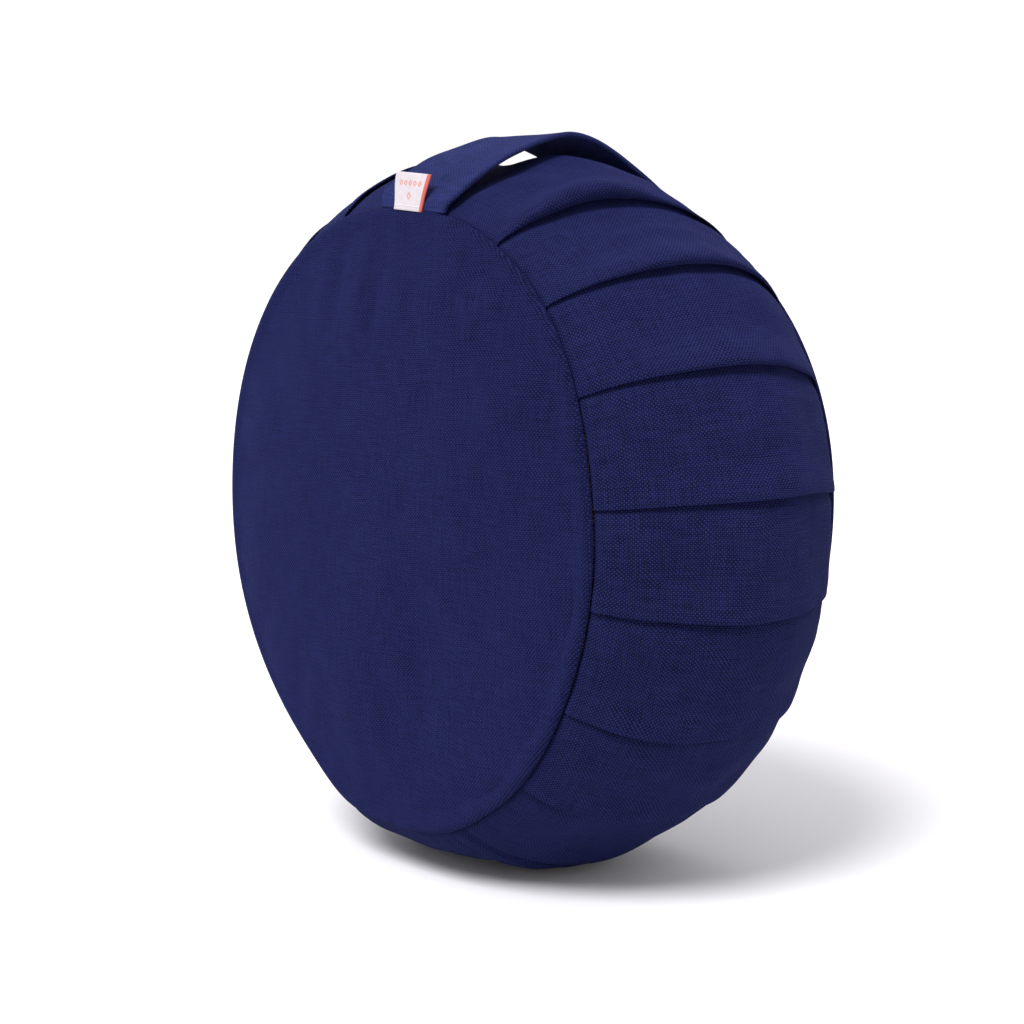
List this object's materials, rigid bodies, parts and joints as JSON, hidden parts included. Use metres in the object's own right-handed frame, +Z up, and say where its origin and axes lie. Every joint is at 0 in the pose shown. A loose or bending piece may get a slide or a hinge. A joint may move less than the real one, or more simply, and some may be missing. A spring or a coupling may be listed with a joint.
{
  "type": "round floor cushion",
  "caption": "Round pleated floor cushion standing on its rim, with two crowned panels, a knife-pleated side band, a carry strap, a sewn-in label and a zip.",
  "frame": {"origin": "middle of the flat patch of the side band that the cushion stands on", "axes": "+Z up as it stands on its rim; the cushion's own axis lies along Y, with the panel that has the label at its seam facing -Y"},
  "size_m": [0.3323, 0.1534, 0.3331],
  "materials": {
    "cover_cloth": "matte",
    "strap_cloth": "matte",
    "navy_thread": "matte",
    "pale_thread": "matte",
    "label_cloth": "satin",
    "zip_tape": "matte",
    "zip_coil": "satin",
    "zip_metal": "satin",
    "liner_cloth": "matte",
    "hulls": "matte"
  },
  "bodies": {
    "cushion": {"front_panel": "cover_cloth", "back_panel": "cover_cloth", "pleated_side_band": "cover_cloth", "front_seam_thread": "navy_thread", "back_seam_thread": "navy_thread", "zip_tape_upper": "zip_tape", "zip_tape_lower": "zip_tape", "zip_coil_upper": "zip_coil", "zip_coil_lower": "zip_coil", "zip_top_stop_upper": "zip_metal", "zip_top_stop_lower": "zip_metal", "zip_bottom_stop": "zip_metal", "zip_stitching_upper": "navy_thread", "zip_stitching_lower": "navy_thread", "liner_front_panel": "liner_cloth", "liner_back_panel": "liner_cloth", "liner_side_band": "liner_cloth", "liner_closing_thread": "pale_thread", "hull_filling": "hulls"},
    "strap_loop": {"carry_strap": "strap_cloth"},
    "label_flap": {"side_label": "label_cloth", "label_stitching": "pale_thread"},
    "slider": {"zip_slider": "zip_metal"},
    "pull": {"zip_pull_tab": "zip_metal"}
  },
  "joints": [
    {"name": "strap_sway", "type": "hinge", "parent": "cushion", "child": "strap_loop", "pos_m": [0, 0, 0.162], "axis": [0, 1, 0], "range_deg": [-8, 8], "stiffness_Nm_per_rad": 0.5},
    {"name": "label_fold", "type": "hinge", "parent": "cushion", "child": "label_flap", "pos_m": [0.01331, -0.0671, 0.30026], "axis": [0.9954, 0, -0.0958], "range_deg": [0, 105], "stiffness_Nm_per_rad": 0.0001},
    {"name": "zip_travel", "type": "hinge", "parent": "cushion", "child": "slider", "pos_m": [-0.06998, 0, 0.162], "axis": [0, 0, -1], "range_deg": [0, 71]},
    {"name": "pull_swing", "type": "hinge", "parent": "slider", "child": "pull", "pos_m": [-0.1486, -0.05617, 0.162], "axis": [0, 0, 1], "range_deg": [0, 170]}
  ]
}
